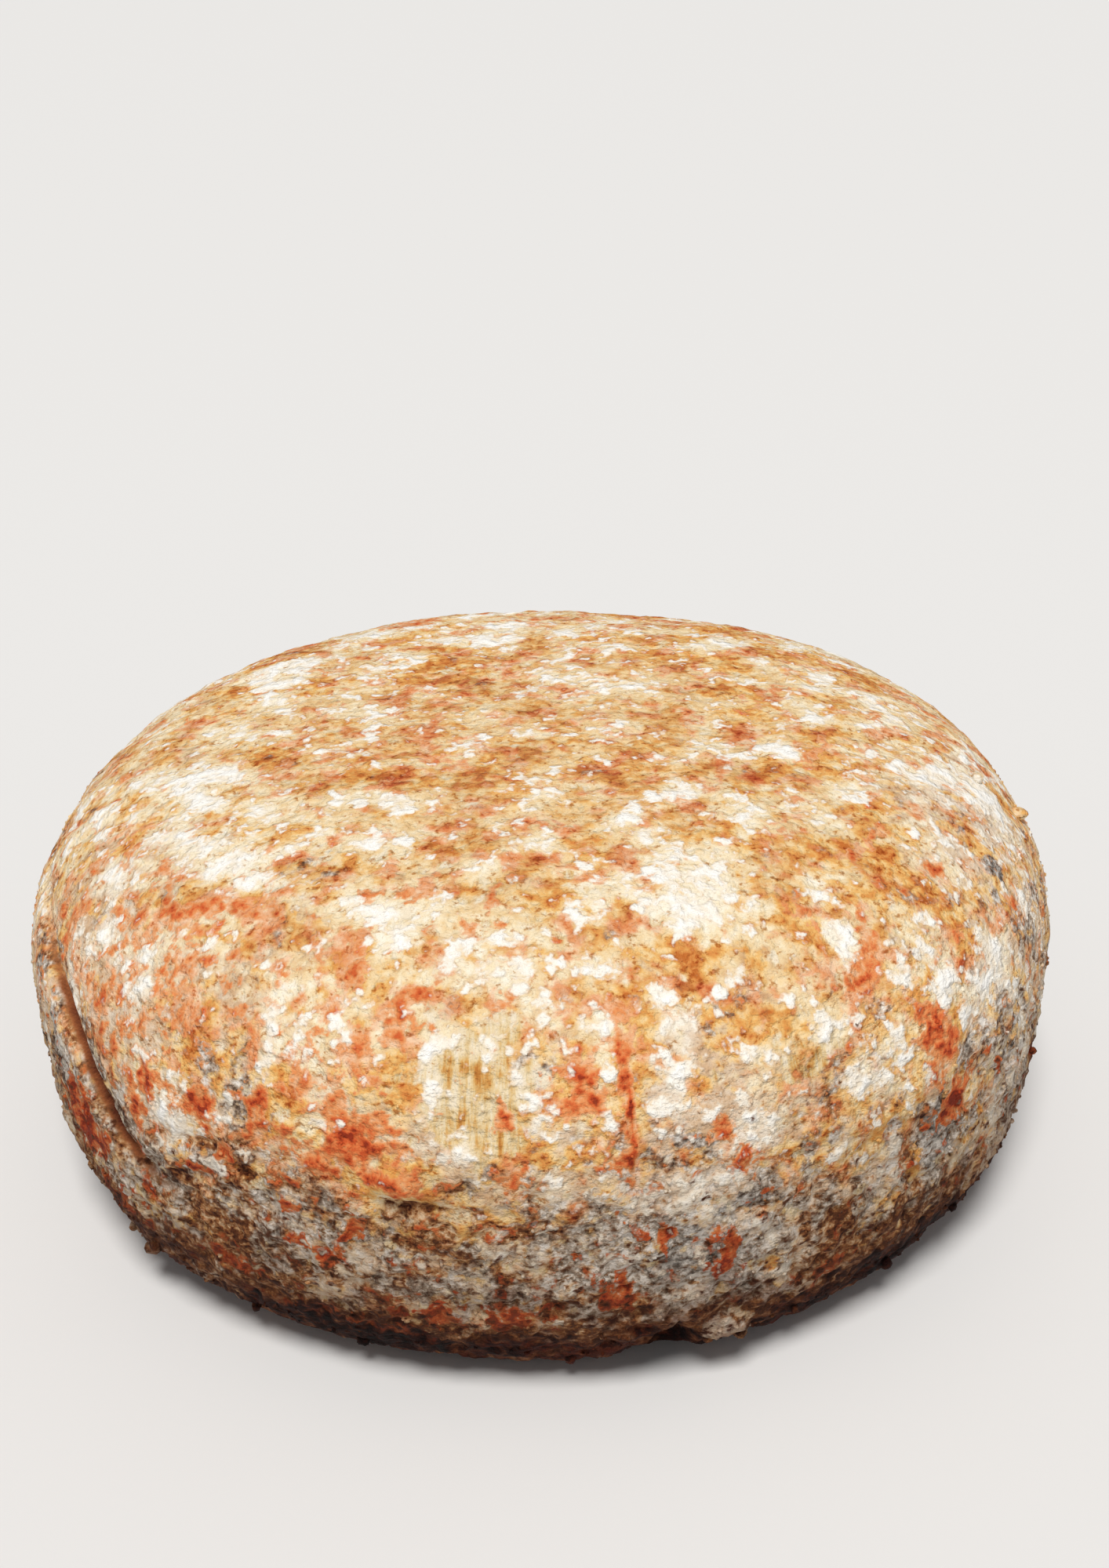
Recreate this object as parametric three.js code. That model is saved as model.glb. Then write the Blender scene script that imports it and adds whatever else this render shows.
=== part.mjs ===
// A farmhouse cheese wheel in one piece: a crowned top, broad round shoulders, a full side,
// a flat foot, and the crease that a fold of the press cloth left down one side.
// Millimetres, +Z up. The origin is the middle of the foot, which lies on z = 0.

import * as THREE from 'three';

// Driving dimensions of the wheel
const wheelDiameter = 260;
const wheelHeight = 110;
const beltHeight = 53; // height of the widest part of the side
const footDiameter = 184; // flat disc that the wheel stands on

// Exponents of the two quarter curves: a larger one makes a squarer corner
const topQuarter = { across: 3.95, up: 2.43 };
const footQuarter = { across: 3.5, up: 2.37 };

// How far the wheel has settled out of true
const lean = 0.016; // extra height at the +X edge, as a share of the height
const swellHeight = 0.55; // how far each gentle wave stands proud
const footFade = 14; // the waves die out over this height, so that the foot stays flat

// The cloth crease: bearings turn anticlockwise from +X in degrees, heights are in millimetres,
// and depth is a share of creaseDepth. Past the last row it runs on unmarked, back to the first.
const creaseDepth = 3.4;
const creaseHalfWidth = 1.7;
const lip = { height: 1.5, above: 5, halfWidth: 3.4 };
const ledge = { height: 1.1, below: 6.5, halfWidth: 4.2 };
const creasePath = [
  { bearing: 166, height: 82, depth: 0 },
  { bearing: 196, height: 81, depth: 0.3 },
  { bearing: 206, height: 76, depth: 0.6 },
  { bearing: 214, height: 66, depth: 1 },
  { bearing: 222, height: 54, depth: 1 },
  { bearing: 228, height: 43, depth: 0.85 },
  { bearing: 234, height: 42, depth: 0.35 },
  { bearing: 248, height: 49, depth: 0.3 },
  { bearing: 262, height: 54, depth: 0 },
  { bearing: 345, height: 60, depth: 0 },
  { bearing: 440, height: 74, depth: 0 },
  { bearing: 526, height: 82, depth: 0 },
];

// Fineness of the faceted skin
const segments = 96;
const ringSpacing = 8;
const creaseRings = [-10, -7, -4.8, -3, -1.7, -0.8, 0, 0.8, 1.7, 3, 4.8, 7, 10];
const straightCreaseHeight = 62; // where the crease's rings lie before they follow its path

const radius = wheelDiameter / 2;
const footRadius = footDiameter / 2;
const fullTurn = 360;
const toRadians = Math.PI / 180;

// Half of the wheel's outline, from the middle of the top to the edge of the foot.
class Meridian extends THREE.Curve {
  getPoint(t, target = new THREE.Vector2()) {
    const quarter = Math.PI / 2;
    if (t < 0.5) {
      const angle = quarter * (1 - 2 * t);
      const reach = Math.cos(angle) ** (2 / topQuarter.across);
      const rise = Math.sin(angle) ** (2 / topQuarter.up);
      return target.set(radius * reach, beltHeight + (wheelHeight - beltHeight) * rise);
    }
    const angle = quarter * (2 * t - 1);
    const reach = Math.max(0, Math.cos(angle)) ** (2 / footQuarter.across);
    const drop = Math.sin(angle) ** (2 / footQuarter.up);
    return target.set(footRadius + (radius - footRadius) * reach, beltHeight * (1 - drop));
  }
}

const meridian = new Meridian();
meridian.arcLengthDivisions = 1200;
const meridianLength = meridian.getLength();

// Share of the meridian's length at which it has come down to a height on the side
function shareAtHeight(height) {
  let above = 0;
  let below = 1;
  for (let halving = 0; halving < 30; halving += 1) {
    const middle = (above + below) / 2;
    if (meridian.getPointAt(middle).y > height) above = middle;
    else below = middle;
  }
  return above;
}

const straightCreaseShare = shareAtHeight(straightCreaseHeight);
const creaseCurve = new THREE.CubicInterpolant(
  creasePath.map((row) => row.bearing),
  creasePath.flatMap((row) => [shareAtHeight(row.height), row.depth]),
  2,
);

// Where the crease crosses a bearing, and how deep it is there
function creaseAt(bearing) {
  const start = creasePath[0].bearing;
  const turned = THREE.MathUtils.euclideanModulo(bearing - start, fullTurn) + start;
  const [share, depth] = creaseCurve.evaluate(turned);
  return { share, depth: THREE.MathUtils.clamp(depth, 0, 1) };
}

// Section across the crease: a groove, a lip that overhangs it and a ledge that swells below it
function creaseSection(distance) {
  const bump = (centre, halfWidth) => Math.exp(-(((distance - centre) / halfWidth) ** 2));
  return (
    lip.height * bump(lip.above, lip.halfWidth) +
    ledge.height * bump(-ledge.below, ledge.halfWidth) -
    creaseDepth * bump(0, creaseHalfWidth)
  );
}

// Long, low waves of a rind that dried and was turned by hand
function swell(x, y, z) {
  const broad = Math.sin(x / 43 + 0.6) * Math.sin(y / 39 + 1.9);
  const slanting = Math.sin(x / 24 - y / 31 + z / 21 + 2.1);
  const short = Math.sin(y / 17 + z / 13 + 0.4) * Math.sin(x / 19 - z / 29);
  return swellHeight * (1.1 * broad + 0.7 * slanting + 0.6 * short);
}

// A point of the skin: the outline at that bearing, moved along its normal
function skinPoint(straightShare, bearing) {
  const crease = creaseAt(bearing);
  const share =
    straightShare < straightCreaseShare
      ? (straightShare * crease.share) / straightCreaseShare
      : 1 - ((1 - straightShare) * (1 - crease.share)) / (1 - straightCreaseShare);
  const outline = meridian.getPointAt(share);
  const tangent = meridian.getTangentAt(share);
  const cos = Math.cos(bearing * toRadians);
  const sin = Math.sin(bearing * toRadians);

  const footHold = THREE.MathUtils.smoothstep(outline.y, 0, footFade);
  const fromCrease = (crease.share - share) * meridianLength;
  const proud =
    footHold * swell(outline.x * cos, outline.x * sin, outline.y) +
    crease.depth * creaseSection(fromCrease);

  const reach = outline.x - tangent.y * proud;
  const height = outline.y + tangent.x * proud;
  const leaning = 1 + (lean * reach * cos) / radius;
  return new THREE.Vector3(reach * cos, reach * sin, height * leaning);
}

// Ring positions down the meridian: even, but close together across the crease
function ringShares() {
  const near = creaseRings.map((offset) => straightCreaseShare + offset / meridianLength);
  const first = near[0];
  const last = near[near.length - 1];
  const evenly = (from, to) => {
    const steps = Math.ceil(((to - from) * meridianLength) / ringSpacing);
    return Array.from({ length: steps }, (_, step) => from + ((to - from) * step) / steps);
  };
  return [...evenly(0, first), ...near, ...evenly(last, 1).slice(1), 1];
}

function cheeseWheelGeometry() {
  const shares = ringShares().reverse();
  const outline = shares.map((share) => meridian.getPointAt(share));
  const footCentre = new THREE.Vector2(0, 0);
  const profile = [footCentre, ...outline];
  profile.at(-1).x = 0;
  const geometry = new THREE.LatheGeometry(profile, segments);
  geometry.rotateX(Math.PI / 2);

  const position = geometry.getAttribute('position');
  for (let i = 0; i < position.count; i += 1) {
    const ring = i % profile.length;
    const onAxis = ring === 0 || ring === profile.length - 1;
    if (!onAxis) {
      const bearing = Math.atan2(position.getY(i), position.getX(i)) / toRadians;
      const point = skinPoint(shares[ring - 1], bearing);
      position.setXYZ(i, point.x, point.y, point.z);
    }
  }

  geometry.computeBoundingBox();
  const middle = geometry.boundingBox.getCenter(new THREE.Vector3());
  geometry.translate(-middle.x, -middle.y, -geometry.boundingBox.min.z);
  geometry.computeVertexNormals();
  return geometry;
}

const rind = new THREE.MeshStandardMaterial({ color: 0xd9b48a, roughness: 0.9, metalness: 0 });
const wheel = new THREE.Mesh(cheeseWheelGeometry(), rind);
wheel.name = 'cheese_wheel';

const cheese = new THREE.Group();
cheese.add(wheel);

export default cheese;
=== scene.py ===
import math
import random

import bmesh
import bpy
import numpy as np
from mathutils import Matrix, Vector, noise


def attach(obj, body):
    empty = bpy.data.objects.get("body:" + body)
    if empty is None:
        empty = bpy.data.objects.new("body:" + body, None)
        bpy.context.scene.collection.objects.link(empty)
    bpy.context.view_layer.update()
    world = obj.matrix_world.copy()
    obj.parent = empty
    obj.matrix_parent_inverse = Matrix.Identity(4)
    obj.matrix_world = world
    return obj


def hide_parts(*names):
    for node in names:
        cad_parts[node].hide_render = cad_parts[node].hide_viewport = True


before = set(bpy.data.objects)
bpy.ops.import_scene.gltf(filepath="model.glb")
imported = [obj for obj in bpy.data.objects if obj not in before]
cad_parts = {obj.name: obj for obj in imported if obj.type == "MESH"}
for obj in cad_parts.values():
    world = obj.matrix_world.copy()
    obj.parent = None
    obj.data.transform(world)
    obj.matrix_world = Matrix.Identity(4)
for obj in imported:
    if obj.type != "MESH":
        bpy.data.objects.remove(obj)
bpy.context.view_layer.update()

# A whole farmhouse cheese wheel. Everything is worked out in millimetres and turned to metres
# as each mesh is finished. Bearings go anticlockwise from +X in degrees, and "down" is the
# distance over the rind from the middle of the top.
toMetres = 0.001
degree = math.pi / 180


# the wheel's form, with the numbers of the solid it stands for
wheel = {
    "diameter": 260,
    "height": 110,
    "beltHeight": 53,       # height of the widest part
    "footDiameter": 184,
    "topAcross": 3.95, "topUp": 2.43,       # exponents of the upper quarter curve
    "footAcross": 3.5, "footUp": 2.37,      # and of the lower one
    "lean": 0.016,          # the +X edge stands this share higher
    "swell": 0.55,          # height of the long waves
    "footFade": 14,         # the waves die out over this height
}

# the crease that the press cloth left in the side: a groove in a soft dip, and a roll below it
crease = {
    "grooveDepth": 2.5, "grooveHalf": 1.9,
    "valleyDepth": 1.2, "valleyHalf": 7, "valleyAbove": 3.5,
    "rollHeight": 1.3, "rollHalf": 4, "rollBelow": 6.5,
    "shadeBelow": 1.0, "shadeHalf": 1.5,    # painted shade, brown, on the groove's lower wall
    "valleyShade": 0.6,     # how much grey and brown painted shade the dip gets
    "calmHalf": 9,          # the rind is smooth this far round the groove
    "refineHalf": 9, "refineBearings": (200, 238),      # where the mesh is finer
    # bearing, height, share of the depth
    "path": [(166, 82, 0), (196, 79, 0.4), (206, 73.5, 0.8), (211, 69, 1), (215.5, 63, 1),
             (219, 56.5, 1), (222, 50.5, 1), (225, 46, 0.8), (228, 43, 0.3), (234, 42, 0.1),
             (248, 49, 0.1), (262, 54, 0), (345, 60, 0), (440, 74, 0), (526, 82, 0)],
}


outlineSteps = 4000     # points along each of the outline's two quarter curves
slopeStep = 0.4         # mm to either side of a point, for the way the outline faces there


def outlineTable():
    # reach, height and distance down the rind, from the middle of the top to the foot's edge
    radius, belt = wheel["diameter"] / 2, wheel["beltHeight"]
    foot = wheel["footDiameter"] / 2
    upper = np.linspace(math.pi / 2, 0, outlineSteps)
    lower = np.linspace(0, math.pi / 2, outlineSteps)[1:]
    reachTop = radius * np.cos(upper) ** (2 / wheel["topAcross"])
    heightTop = belt + (wheel["height"] - belt) * np.sin(upper) ** (2 / wheel["topUp"])
    reachFoot = foot + (radius - foot) * np.abs(np.cos(lower)) ** (2 / wheel["footAcross"])
    heightFoot = belt * (1 - np.sin(lower) ** (2 / wheel["footUp"]))
    reach = np.concatenate([[0.0], reachTop[1:], reachFoot])
    height = np.concatenate([heightTop, heightFoot])
    down = np.concatenate([[0.0], np.cumsum(np.hypot(np.diff(reach), np.diff(height)))])
    return reach, height, down


outlineReach, outlineHeight, outlineDown = outlineTable()
rindLength = outlineDown[-1]


def outlineAt(down):
    # reach, height and the outward normal's two parts
    reach = np.interp(down, outlineDown, outlineReach)
    height = np.interp(down, outlineDown, outlineHeight)
    before, after = np.clip(down - slopeStep, 0, rindLength), np.clip(down + slopeStep, 0, rindLength)
    alongReach, alongHeight = [np.interp(after, outlineDown, side) - np.interp(before, outlineDown, side)
                               for side in (outlineReach, outlineHeight)]
    size = np.hypot(alongReach, alongHeight) + 1e-9
    return reach, height, -alongHeight / size, alongReach / size


def downAtHeight(height):
    return np.interp(-height, -outlineHeight, outlineDown)


def smooth(low, high, value):
    share = np.clip((value - low) / (high - low), 0, 1)
    return share * share * (3 - 2 * share)


def bump(value, centre, halfWidth):
    return np.exp(-((value - centre) / halfWidth) ** 2)


def acrossFrom(place, bearing, reach):
    # mm round the wheel from the bearing "place"
    return ((bearing - place + 180) % 360 - 180) * degree * reach


easeSpan = 9            # degrees over which a path's corners are rounded


def easeRows(bearings, rows, column):
    # eased values between the rows of a path that closes on itself
    starts = np.array([row[0] for row in rows], float)
    values = np.array([row[column] for row in rows], float)
    turned = (bearings - starts[0]) % 360 + starts[0]
    fine = np.arange(starts[0], starts[0] + 360, 1.0)
    coarse = np.interp(fine, starts, values)
    kernel = np.hanning(easeSpan)
    kernel /= kernel.sum()
    eased = np.convolve(np.tile(coarse, 3), kernel, "same")[len(fine):2 * len(fine)]
    return np.interp(turned, np.append(fine, fine[0] + 360), np.append(eased, eased[0]))


def creaseAt(bearings):
    rows = [(bearing, downAtHeight(height), depth) for bearing, height, depth in crease["path"]]
    return easeRows(bearings, rows, 1), easeRows(bearings, rows, 2)


noiseShape = (0.9, 2.1)     # how fast the finer octaves weaken, and how much finer each one is


def noiseField(points, wavelength, octaves, seed):
    offset = Vector((seed, 2 * seed, -seed))
    return np.array([noise.fractal(Vector(p) / wavelength + offset, *noiseShape, octaves) for p in points])


# Marks of each kind, placed one by one: bearing, down, half size across, half size down, turn and
# strength. The turn is in degrees, anticlockwise for someone who faces the rind.
marks = {
    "chalk": [
        (200, 86, 15, 7, 20, 1.0), (212, 96, 14, 5, 30, 1.1), (206, 113, 10, 8, 0, .7),
        (214, 122, 4, 6, 0, .8), (222, 96, 8, 4, 25, .9), (230, 97, 8, 3.5, 10, 1.2),
        (236, 94, 9, 4, 15, 1.0), (197, 108, 9, 5, 20, .7), (250, 94, 9, 4, 10, 1.0),
        (253, 102, 8, 3, 10, 1.0), (264, 106, 9, 6, 0, .9), (276.5, 93, 5, 4, 0, 1.2),
        (290, 93, 11, 4, 0, 1.1), (286, 85, 8, 4, 0, .9), (290, 76, 7, 6, 0, .9), (286, 62, 8, 3, 0, .9),
        (302, 58, 6, 4, 0, .8), (296, 96, 8, 5, 0, .8), (283.5, 120, 3.4, 7, 0, 1.1),
        (305, 115, 3, 7, 20, 1.2), (346, 108, 12, 11, 0, 1.2), (354, 112, 9, 9, 0, 1.0),
        (342, 79, 7, 7, 0, .9), (337, 66, 5, 5, 0, .8), (5, 68, 5, 5, 0, .8), (11, 86, 6, 5, 0, .8),
        (228, 58, 8, 3, 0, .8), (215, 52, 6, 4, 0, .7), (239.6, 149, 5, 5.5, 0, 1.2),
        (243, 121, 5, 4, 0, .6), (242.6, 130, 1.8, 6, 0, 1.0), (251, 137, 5, 8, 0, .9),
        (231.8, 152, 4.6, 5.5, 0, 1.2), (238, 160.5, 3, 2.4, 0, 1.1), (221, 128, 6, 8, 0, .7),
        (212, 141, 4, 12, 20, .8), (229.5, 163.5, 6, 4, -20, 1.2), (236, 166, 6, 3, 0, .5),
        (265, 121, 6, 7, 0, 1.0), (259, 126, 2, 5, 0, 1.1), (269.3, 130, 3.4, 8, 0, 1.1),
        (274, 143, 7, 4, 0, .8), (282, 138, 8, 7, 0, .65), (275.8, 134, 1.6, 9, 0, 1.1),
        (262, 145.5, 9, 2, 0, 1.1), (261, 142, 6, 3, 0, .9), (264, 151, 3, 2, 0, 1.0),
        (302, 141, 9, 5, 0, .8), (306, 128, 7, 5, 0, .9), (314, 133, 9, 9, 0, .8),
        (322, 134, 9, 9, 0, .7), (287, 150, 12, 5, 0, .5), (290, 161, 12, 7, 0, .3),
        (287.8, 199, 6.4, 3.6, 0, 1.6), (267, 189, 2, 2, 0, 1.1), (271, 190, 1.6, 1.6, 0, 1.0),
    ],
    "orange": [
        (203, 106, 4, 7, 40, 1.0), (229, 112, 6, 3, 0, .9), (236, 38, 8, 5, 0, .9),
        (262, 38, 16, 8, 0, .4), (300, 40, 14, 8, 0, .4), (274, 89, 8, 4, 0, 1.0), (279, 76, 4, 3, 0, .8),
        (276, 69, 4, 2, 0, .8), (252, 72, 6, 2, 0, .8), (288, 109, 9, 5, 0, .9), (287, 120, 9, 7, 0, .55),
        (250, 109, 8, 5, 0, .9), (255, 134, 7, 5, 0, 1.2), (251, 147, 6, 7, 0, 1.0),
        (256.5, 153, 6, 4, 0, 2.2), (263, 128, 1.5, 8, 0, 1.0), (266, 137, 4, 5, 0, .8),
        (264.5, 148, 4, 4, 0, .9), (271, 146.5, 10, 3, 0, 1.0), (273, 132, 8, 8, 0, .9),
        (278.5, 121, 4, 7, 0, .8), (291.5, 126, 7, 3, 0, .9), (286, 137, 6, 3, 0, .7),
        (309, 131, 4, 3, 0, .8), (307, 143, 5, 6, 0, .8), (313.5, 141, 5, 9, 0, 1.0),
        (317.5, 167, 5, 9, 0, .9), (297, 155, 2, 6, 0, .8), (303, 158, 6, 5, 0, 1.0),
        (308.3, 172, 4.5, 4.5, 0, 1.2), (306, 170, 6, 4, 0, .8), (293, 151, 4, 5, 0, .7),
        (291.3, 183, 3, 1.6, 25, 1.5), (341, 76, 12, 6, 0, .9), (3, 55, 14, 6, 0, .8),
        (327, 69, 8, 5, 0, .8), (261, 161, 13, 6, 0, .8), (303, 186, 4, 4, 0, .8),
        (318, 97, 13, 4, -15, 1.1), (314, 93, 7, 4, 0, 1.0), (320, 114, 3, 15, 12, 1.2),
        (313.5, 106, 8, 4, -20, 1.0), (335, 119, 3, 5, 0, .8), (331.5, 132, 2, 7, 0, .9),
        (351.5, 123, 3, 4, 0, .8), (358, 74, 9, 4, 0, .9), (15, 72, 8, 4, 0, .8), (20, 60, 6, 4, 0, .8),
        (345, 50, 8, 5, 0, .8), (327, 91, 6, 4, -20, .9), (302, 76, 5, 4, 0, .9), (305, 83, 5, 3, 0, .9),
        (302, 107, 4, 7, 0, 1.1), (192, 68, 8, 4, 15, .8), (222, 50, 12, 5, 0, .8),
        (217, 83, 9, 4, 20, .9), (238, 84, 6, 3, 0, .8), (196, 119, 6, 5, 0, .8), (233, 136, 6, 5, 0, .8),
        (245.3, 143.5, 6, 5.5, 0, 1.2), (244, 135.5, 4, 2, 0, 1.0), (233.8, 160.5, 4, 3.2, -30, 1.4),
        (241, 158, 4, 2.4, 0, 1.4), (237, 182, 12, 8, 0, .8), (223, 187, 6, 7, 0, 1.0),
        (205, 136, 3, 12, -12, .8), (35, 80, 14, 8, 0, .7),
    ],
    "red": [
        (225, 107, 17, 2.4, 32, 1.1), (216, 107, 4, 3, 0, .9), (234.5, 102, 3, 3, 0, 1.1),
        (252, 88, 4, 3, 0, .9), (262.5, 90, 1.6, 7, 0, .8), (262, 97, 5, 2, 0, 1.0),
        (267.5, 116, 5, 2, 0, .8), (256, 115, 5, 2.4, 30, 1.0), (255, 121.5, 5, 3, -25, 1.2),
        (252, 126, 3, 3, -30, .9), (248, 119, 3, 3, 0, .9), (253.5, 145.5, 7, 6, 0, 1.55),
        (251, 141, 3, 4, 0, 1.2), (249, 150, 4, 3, 0, 1.0), (266, 137.5, 2.2, 2.2, 0, 2.3),
        (266.5, 153, 3, 3, 0, 1.0), (273.2, 131.5, 4.4, 6.2, 0, 1.6), (277.6, 136, 0.9, 13, 2, 2.6),
        (276.8, 148, 3, 1.6, 0, 1.5), (278.2, 123, 2.6, 4, 0, 1.2), (286, 144.5, 3, 2, 0, 1.0),
        (288.5, 153, 3, 3, 0, .9), (305.4, 121, 5, 3, 20, 1.3), (308.5, 115, 2.5, 4, 0, 1.0),
        (311.6, 142, 3.8, 6.5, 12, 2.0), (310.7, 149, 1.6, 4, 0, 1.4), (313.8, 160, 4.2, 4.2, 0, 2.0),
        (318, 97, 8, 1.6, 0, .9), (319.3, 126, 3, 3, 0, 1.1), (324.5, 112, 3, 2, 0, 1.0),
        (327, 132, 2, 3, 0, 1.0), (357, 86, 5, 2, 0, .8), (336, 72, 3, 3, 0, .9), (302, 105, 3, 4, 0, .9),
        (171, 94, 5, 2, 0, .9), (172, 86, 5, 2, 0, .9), (212, 58, 7, 2, 0, .8), (247, 91, 4, 3, 0, .9),
        (215, 120, 5, 3, 0, .9), (215.5, 135, 2.4, 5, 0, 1.0), (222.5, 146, 3.5, 2.5, 0, 1.1),
        (226, 136, 2, 4, 0, .8), (235.8, 147.5, 4, 2.8, 0, 1.7), (227.3, 154.5, 3.6, 5.5, 0, 1.5),
        (228, 147, 3.6, 2.4, 0, 1.7), (231.5, 146, 4, 1.8, -20, 1.7), (238.5, 155.5, 2.5, 1.6, 0, 1.6),
        (235, 162.8, 5, 1.6, 0, 1.5), (242.2, 143.5, 1.8, 5.5, 0, 1.5), (216, 172, 9, 9, 0, 1.6),
        (238, 187, 7, 4, 0, 1.0), (248.5, 174, 4, 3, 0, 1.0), (251.5, 167, 2.6, 2.6, 0, .9),
        (245, 164, 4, 2, 0, .8), (266, 190, 7, 4, 0, 1.3), (258, 187, 6, 4, 0, 1.1),
        (276.4, 183, 3.6, 5, 0, 1.25), (256.5, 153.5, 4.4, 3, 0, 1.0), (341, 73, 6, 3, 0, .8),
        (3, 53, 7, 3, 0, .7), (286.7, 176, 1.8, 5.2, -12, 1.25), (285.5, 169, 2, 1.4, 0, 1.2),
        (280.5, 168, 1.8, 2.6, -25, 1.0), (272.5, 171, 1.6, 1.2, 0, .9), (252, 198, 20, 5, 0, 1.5),
        (224, 126, 22, 18, 0, .66), (228, 142, 10, 8, 0, .6), (236, 36, 7, 3, 0, .8),
        (205, 120, 8, 20, 0, .60), (247, 128, 14, 18, 0, .55), (222, 187, 12, 8, 0, .9),
        (299, 190, 4, 4, 0, .8), (329, 167, 1.4, 1.6, 0, 1.1),
    ],
    "grey": [
        (214, 126, 22, 22, 0, .5), (335, 120, 18, 28, 0, .8), (228, 128, 24, 22, 0, .5),
        (284, 136, 11, 16, 0, .75), (322, 140, 10, 14, 0, .5), (270.5, 131, 4.5, 10, 0, .6),
        (244, 171, 11, 9, 0, .9), (244, 181, 7, 6, 0, .6), (210, 156, 6, 14, 20, 1.1),
        (203, 150, 5, 12, 20, .8), (284, 174, 24, 16, 0, 1.0), (286, 168, 12, 12, 0, 1.0),
        (312, 168, 5, 8, 0, 1.2), (304, 171, 7, 4, 0, .8), (327, 164, 12, 18, 0, .9),
        (330, 104, 6, 4, 0, .45), (326, 110, 9, 5, 0, .5), (318, 148, 8, 8, 0, .7),
        (222, 182, 5, 6, 0, .8), (251, 184, 9, 4, 0, .4), (256, 176, 10, 5, 0, .7),
        (229, 171, 6, 4, 0, .9), (287, 184, 10, 6, 0, 1.0), (311, 168, 4, 9, 0, 1.3),
    ],
    "brown": [
        # brown rind, partly painted shadow: the rows from 196 mm down to the foot's edge, the strong one in
        # the bite at 282.4, and the thin ones under the knob, the lumps and the ledge
        (297, 178, 8, 11, 0, .8), (262, 163, 14, 8, 0, .42), (252, 180, 14, 8, 0, .5),
        (238, 176, 14, 8, 0, .9), (222, 190, 14, 8, 0, 1.1), (240, 192, 14, 7, 0, .9),
        (213, 178, 8, 10, 0, .8), (268, 166, 8, 2, 8, .7), (300, 188, 10, 4, 0, 1.0),
        (276, 190, 10, 6, 0, .8), (241, 159, 2, 1.6, 0, 1.1), (329, 117, 1.6, 1.6, 0, 1.2),
        (308, 185, 10, 5, 0, .8), (262, 196, 26, 4, 0, 1.0), (305, 197, 40, 4, 0, 1.1),
        (232, 196, 22, 4, 0, .8), (330, 102, 1.4, 1.4, 0, .3), (282.4, 208, 5.6, 8.6, 0, 4.5),
        (313, 201, 29, 6, 0, 3.0), (298, 204.5, 12, 4, 0, 2.4), (250, 203, 28, 5.5, 0, 3.2),
        (250, 196, 24, 5, 0, 1.6), (236.5, 155.5, 6, 1.4, 0, 1.3), (256.8, 159, 5, 1.5, 0, 1.8),
    ],
    "scrape": [
        (263.5, 133, 11, 12, 0, 1.2), (295.5, 134, 6, 7, 0, .55),
    ],
}

# The rest of the rind gets marks like these by chance.
scatter = {
    "seed": 41,
    "bearings": (8, 164),
    "counts": {"chalk": 30, "orange": 38, "red": 40, "grey": 12, "brown": 12, "scrape": 1},
    "downs": {"chalk": (50, 150), "orange": (45, 175), "red": (60, 190), "grey": (150, 190),
              "brown": (162, 204), "scrape": (125, 140)},
    "across": {"chalk": (4, 12), "orange": (4, 11), "red": (2, 6), "grey": (6, 14),
               "brown": (5, 10), "scrape": (7, 9)},
    "stretch": (0.45, 1.3),
    "turns": (-35, 35),
    "strengths": (0.7, 1.2),
}


def scatteredMarks():
    chance = random.Random(scatter["seed"])
    made = {}
    for kind, count in scatter["counts"].items():
        rows = []
        for _ in range(count):
            across = chance.uniform(*scatter["across"][kind])
            rows.append((chance.uniform(*scatter["bearings"]), chance.uniform(*scatter["downs"][kind]),
                         across, across * chance.uniform(*scatter["stretch"]),
                         chance.uniform(*scatter["turns"]), chance.uniform(*scatter["strengths"])))
        made[kind] = rows
    return made


extraMarks = scatteredMarks()

# The marks' edges wander, so that none of them is a plain oval; small marks wander less.
wander = {
    # wavelength, sway in mm, octaves, seed across, seed along
    "waves": [(13, 3.4, 2, 11.0, 16.0), (4.5, 1.3, 2, 23.0, 28.0)],
    "fullFrom": 6,          # half size from which a mark wanders fully
}
# how crisply the marks of each kind end, and how fast they fade
edges = {"chalk": 1.2, "orange": 1.2, "red": 1.2, "grey": 1.0, "brown": 1.0, "scrape": 1.8}
edgeFade = 0.6


def swayAt(flat):
    across, along = np.zeros(len(flat)), np.zeros(len(flat))
    for wavelength, sway, octaves, seedAcross, seedAlong in wander["waves"]:
        across += sway * noiseField(flat, wavelength, octaves, seedAcross)
        along += sway * noiseField(flat, wavelength, octaves, seedAlong)
    return across, along


def markField(kind, bearing, down, sway):
    # 0 where the rind has no such mark, and a mark's strength in its middle
    total = np.zeros_like(down)
    reach = np.interp(down, outlineDown, outlineReach)
    for place, centre, halfAcross, halfDown, turn, strength in marks[kind] + extraMarks[kind]:
        share = min(1, min(halfAcross, halfDown) / wander["fullFrom"])
        across = acrossFrom(place, bearing, reach) + share * sway[0]
        along = down - centre + share * sway[1]
        cos, sin = math.cos(turn * degree), math.sin(turn * degree)
        u = (across * cos - along * sin) / halfAcross
        v = (across * sin + along * cos) / halfDown
        total = np.maximum(total, strength * np.exp(-(u * u + v * v) ** edges[kind] * edgeFade))
    return total


# How the skin changes from the middle of the top down to the foot: down, value
profiles = {
    "warmth": [(0, .62), (50, .61), (68, .57), (88, .48), (112, .53), (128, .61), (150, .56),
               (238, .58)],
    "crust": [(0, -.06), (95, .07), (115, .16), (135, .27), (150, .39), (163, .53), (180, .61),
              (238, .67)],
    # painted shade that darkens the rind from 138 mm down to the foot's edge; the underside gets all of it
    "footShade": [(0, 0), (138, 0), (150, .16), (160, .38), (172, .55), (185, .72), (194, .86), (202, 1),
             (238, 1)],
}


def profileAt(name, down):
    rows = profiles[name]
    return np.interp(down, [row[0] for row in rows], [row[1] for row in rows])


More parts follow.
